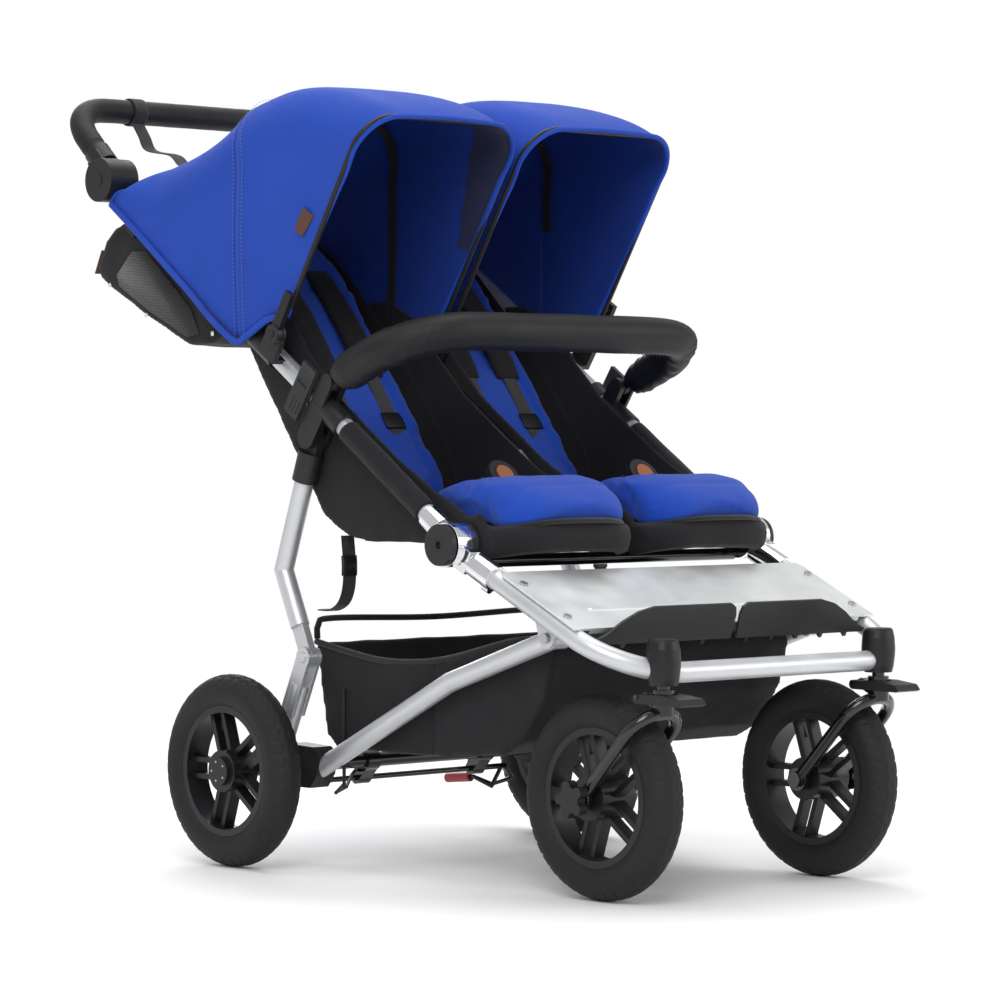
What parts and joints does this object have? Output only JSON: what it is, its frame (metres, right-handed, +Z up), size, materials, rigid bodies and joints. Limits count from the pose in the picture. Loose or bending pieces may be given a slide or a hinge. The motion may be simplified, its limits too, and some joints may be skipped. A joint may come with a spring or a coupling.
{
  "type": "double jogging stroller",
  "caption": "Side-by-side folding buggy with a reclining seat and hooded shade for each child, swivelling front wheels, foot brake and padded belly bar.",
  "frame": {"origin": "middle of the bounding box on the ground under the buggy", "axes": "+X to the right wheel pair seen from behind, +Y to the back towards the handle, +Z up"},
  "size_m": [0.654, 1.1936, 1.0495],
  "materials": {
    "frame_paint": "satin silver",
    "bright_plate": "satin anodised",
    "steel_screw": "plain",
    "chrome_hinge": "polished",
    "black_nylon": "moulded grain",
    "black_steel": "gloss black",
    "cable_sheath": "smooth",
    "black_fabric": "plain weave",
    "webbing": "woven tape",
    "blue_fabric": "quilted weave",
    "bar_cover": "grained",
    "grip_foam": "foam",
    "red_plastic": "smooth",
    "copper_plastic": "satin",
    "tyre_rubber": "treaded"
  },
  "bodies": {
    "chassis": {"front_frame": "frame_paint", "footplate": "bright_plate", "fasteners": "steel_screw", "footrests": "black_nylon", "caster_housings": "black_nylon", "lower_rails": "frame_paint", "rear_axle": "black_steel", "axle_brackets": "black_nylon", "basket": "black_fabric", "front_hinges": "chrome_hinge", "hinge_caps": "black_nylon", "brake_cable": "cable_sheath"},
    "upper_frame": {"side_tubes": "frame_paint", "hinge_eyes": "chrome_hinge", "tube_brackets": "black_nylon", "frame_spine": "black_steel", "hub_housings": "black_nylon", "seat_shells": "black_fabric", "seat_pad_left": "blue_fabric", "seat_pad_right": "blue_fabric", "canopy_rears": "blue_fabric", "canopy_front_left": "blue_fabric", "canopy_front_right": "blue_fabric", "buckles": "black_nylon", "seat_strap": "webbing"},
    "rear_legs": {"rear_legs": "frame_paint", "leg_sleeves": "black_nylon"},
    "leg_links": {"leg_links": "frame_paint"},
    "handle": {"handle_frame": "black_nylon", "handle_grip": "grip_foam", "wrist_straps": "webbing"},
    "handle_buttons": {"handle_buttons": "black_nylon"},
    "shade_bow_left": {"canopy_bow_left": "black_nylon"},
    "shade_bow_right": {"canopy_bow_right": "black_nylon"},
    "backrest_left": {"backrest_left": "blue_fabric", "harness_left": "webbing", "pod_left": "black_fabric"},
    "backrest_right": {"backrest_right": "blue_fabric", "harness_right": "webbing", "pod_right": "black_fabric"},
    "belly_bar": {"belly_bar": "bar_cover"},
    "latch_levers": {"latch_levers": "black_nylon"},
    "caster_left": {"fork_left": "black_steel"},
    "caster_right": {"fork_right": "black_steel"},
    "knob_left": {"wheel_knob_left": "black_nylon"},
    "knob_right": {"wheel_knob_right": "black_nylon"},
    "swivel_lock_left": {"lock_lever_left": "black_nylon"},
    "swivel_lock_right": {"lock_lever_right": "black_nylon"},
    "front_wheel_left": {"front_tyre_left": "tyre_rubber", "front_rim_left": "black_nylon"},
    "front_wheel_right": {"front_tyre_right": "tyre_rubber", "front_rim_right": "black_nylon"},
    "rear_wheel_left": {"rear_tyre_left": "tyre_rubber", "rear_rim_left": "black_nylon"},
    "rear_wheel_right": {"rear_tyre_right": "tyre_rubber", "rear_rim_right": "black_nylon"},
    "brake": {"brake_bar": "black_steel", "brake_pedal": "red_plastic"},
    "buckle_button_left": {"buckle_button_left": "copper_plastic"},
    "buckle_button_right": {"buckle_button_right": "copper_plastic"}
  },
  "joints": [
    {"name": "frame_fold", "type": "hinge", "parent": "chassis", "child": "upper_frame", "pos_m": [0, -0.2468, 0.432], "axis": [-1, 0, 0], "range_deg": [0, 25]},
    {"name": "rear_leg_turn", "type": "hinge", "parent": "upper_frame", "child": "rear_legs", "pos_m": [0, 0.0302, 0.567], "axis": [1, 0, 0], "range_deg": [-4, 2]},
    {"name": "leg_link_turn", "type": "hinge", "parent": "chassis", "child": "leg_links", "pos_m": [0, 0.1052, 0.142], "axis": [1, 0, 0], "range_deg": [-1, 58]},
    {"name": "handle_tilt", "type": "hinge", "parent": "upper_frame", "child": "handle", "pos_m": [0, 0.4592, 0.921], "axis": [-1, 0, 0], "range_deg": [0, 90]},
    {"name": "handle_button_press", "type": "slide", "parent": "handle", "child": "handle_buttons", "axis": [0, -0.6782, 0.7349], "range_m": [0, 0.0025], "stiffness_N_per_m": 700},
    {"name": "shade_fold_left", "type": "hinge", "parent": "upper_frame", "child": "shade_bow_left", "pos_m": [-0.28, 0.0722, 0.7], "axis": [-1, 0, 0], "range_deg": [0, 47], "deforming": ["canopy_front_left"]},
    {"name": "shade_fold_right", "type": "hinge", "parent": "upper_frame", "child": "shade_bow_right", "pos_m": [0.28, 0.0722, 0.7], "axis": [-1, 0, 0], "range_deg": [0, 47], "deforming": ["canopy_front_right"]},
    {"name": "recline_left", "type": "hinge", "parent": "upper_frame", "child": "backrest_left", "pos_m": [-0.126, 0.0092, 0.458], "axis": [-1, 0, 0], "range_deg": [0, 14]},
    {"name": "recline_right", "type": "hinge", "parent": "upper_frame", "child": "backrest_right", "pos_m": [0.126, 0.0092, 0.458], "axis": [-1, 0, 0], "range_deg": [0, 14]},
    {"name": "belly_bar_lift", "type": "hinge", "parent": "upper_frame", "child": "belly_bar", "pos_m": [0, -0.0108, 0.636], "axis": [-1, 0, 0], "range_deg": [0, 55]},
    {"name": "latch_lift", "type": "slide", "parent": "upper_frame", "child": "latch_levers", "axis": [0, 0.8271, 0.5621], "range_m": [0, 0.012], "stiffness_N_per_m": 600},
    {"name": "caster_swivel_left", "type": "hinge", "parent": "chassis", "child": "caster_left", "pos_m": [-0.193, -0.5448, 0.29], "axis": [0, 0, 1], "continuous": true},
    {"name": "caster_swivel_right", "type": "hinge", "parent": "chassis", "child": "caster_right", "pos_m": [0.193, -0.5448, 0.29], "axis": [0, 0, 1], "continuous": true},
    {"name": "knob_turn_left", "type": "hinge", "parent": "caster_left", "child": "knob_left", "pos_m": [-0.25, -0.4428, 0.127], "axis": [1, 0, 0], "continuous": true},
    {"name": "knob_turn_right", "type": "hinge", "parent": "caster_right", "child": "knob_right", "pos_m": [0.25, -0.4428, 0.127], "axis": [1, 0, 0], "continuous": true},
    {"name": "swivel_lock_left", "type": "hinge", "parent": "caster_left", "child": "swivel_lock_left", "pos_m": [-0.193, -0.5198, 0.254], "axis": [-1, 0, 0], "range_deg": [0, 10]},
    {"name": "swivel_lock_right", "type": "hinge", "parent": "caster_right", "child": "swivel_lock_right", "pos_m": [0.193, -0.5198, 0.254], "axis": [-1, 0, 0], "range_deg": [0, 10]},
    {"name": "front_wheel_spin_left", "type": "hinge", "parent": "caster_left", "child": "front_wheel_left", "pos_m": [-0.193, -0.4428, 0.127], "axis": [1, 0, 0], "continuous": true},
    {"name": "front_wheel_spin_right", "type": "hinge", "parent": "caster_right", "child": "front_wheel_right", "pos_m": [0.193, -0.4428, 0.127], "axis": [1, 0, 0], "continuous": true},
    {"name": "rear_wheel_spin_left", "type": "hinge", "parent": "chassis", "child": "rear_wheel_left", "pos_m": [-0.301, 0.1472, 0.127], "axis": [1, 0, 0], "continuous": true},
    {"name": "rear_wheel_spin_right", "type": "hinge", "parent": "chassis", "child": "rear_wheel_right", "pos_m": [0.301, 0.1472, 0.127], "axis": [1, 0, 0], "continuous": true},
    {"name": "brake_press", "type": "hinge", "parent": "chassis", "child": "brake", "pos_m": [0, 0.1632, 0.102], "axis": [-1, 0, 0], "range_deg": [0, 15]},
    {"name": "buckle_press_left", "type": "slide", "parent": "upper_frame", "child": "buckle_button_left", "axis": [0, 0.766, -0.6428], "range_m": [0, 0.0025], "stiffness_N_per_m": 700},
    {"name": "buckle_press_right", "type": "slide", "parent": "upper_frame", "child": "buckle_button_right", "axis": [0, 0.766, -0.6428], "range_m": [0, 0.0025], "stiffness_N_per_m": 700}
  ],
  "couplings": [
    {"joint": "rear_leg_turn", "follows": "frame_fold", "ratio": -0.08},
    {"joint": "leg_link_turn", "follows": "frame_fold", "ratio": 2.24}
  ]
}
